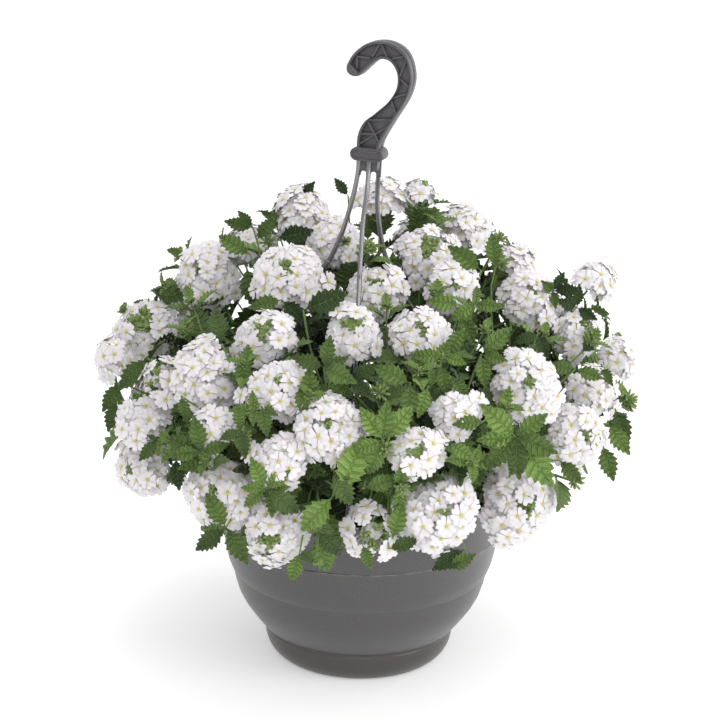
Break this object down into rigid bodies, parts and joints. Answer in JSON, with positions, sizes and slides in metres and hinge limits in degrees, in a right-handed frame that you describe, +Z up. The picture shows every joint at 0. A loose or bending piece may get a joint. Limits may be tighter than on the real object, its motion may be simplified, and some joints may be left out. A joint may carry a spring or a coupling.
{
  "type": "hanging basket of verbena",
  "caption": "White trailing verbena in bloom, growing in a round grey plastic hanging bowl with a clip-on drip saucer and a moulded hook hanger.",
  "frame": {"origin": "middle of the drip saucer's flat underside, on the bowl's upright axis", "axes": "+Z up along the bowl's axis towards the hook; the front of the plant faces -Y, with its right-hand side towards +X"},
  "size_m": [0.5486, 0.5125, 0.629],
  "materials": {
    "bowl_plastic": "satin",
    "saucer_plastic": "satin",
    "hanger_plastic": "satin",
    "peat": "matte",
    "leaf_and_stem": "matte",
    "petals": "matte"
  },
  "bodies": {
    "root": {"drip_saucer": "saucer_plastic", "bowl": "bowl_plastic", "soil": "peat", "hanger": "hanger_plastic", "leafy_plant_1": "leaf_and_stem", "leafy_plant_2": "leaf_and_stem", "leafy_plant_3": "leaf_and_stem", "flower_head_01": "petals", "flower_head_02": "petals", "flower_head_03": "petals", "flower_head_04": "petals", "flower_head_05": "petals", "flower_head_06": "petals", "flower_head_07": "petals", "flower_head_08": "petals", "flower_head_09": "petals", "flower_head_10": "petals", "flower_head_11": "petals", "flower_head_12": "petals", "flower_head_13": "petals", "flower_head_14": "petals", "flower_head_15": "petals", "flower_head_16": "petals", "flower_head_17": "petals", "flower_head_18": "petals", "flower_head_19": "petals", "flower_head_20": "petals", "flower_head_21": "petals", "flower_head_22": "petals", "flower_head_23": "petals", "flower_head_24": "petals", "flower_head_25": "petals", "flower_head_26": "petals", "flower_head_27": "petals", "flower_head_28": "petals", "flower_head_29": "petals", "flower_head_30": "petals", "flower_head_31": "petals", "flower_head_32": "petals", "flower_head_33": "petals", "flower_head_34": "petals", "flower_head_35": "petals", "flower_head_36": "petals", "flower_head_37": "petals", "flower_head_38": "petals", "flower_head_39": "petals", "flower_head_40": "petals", "flower_head_41": "petals", "flower_head_42": "petals", "flower_head_43": "petals", "flower_head_44": "petals", "flower_head_45": "petals", "flower_head_46": "petals", "flower_head_47": "petals", "flower_head_48": "petals", "flower_head_49": "petals", "flower_head_50": "petals", "flower_head_51": "petals"}
  },
  "joints": []
}
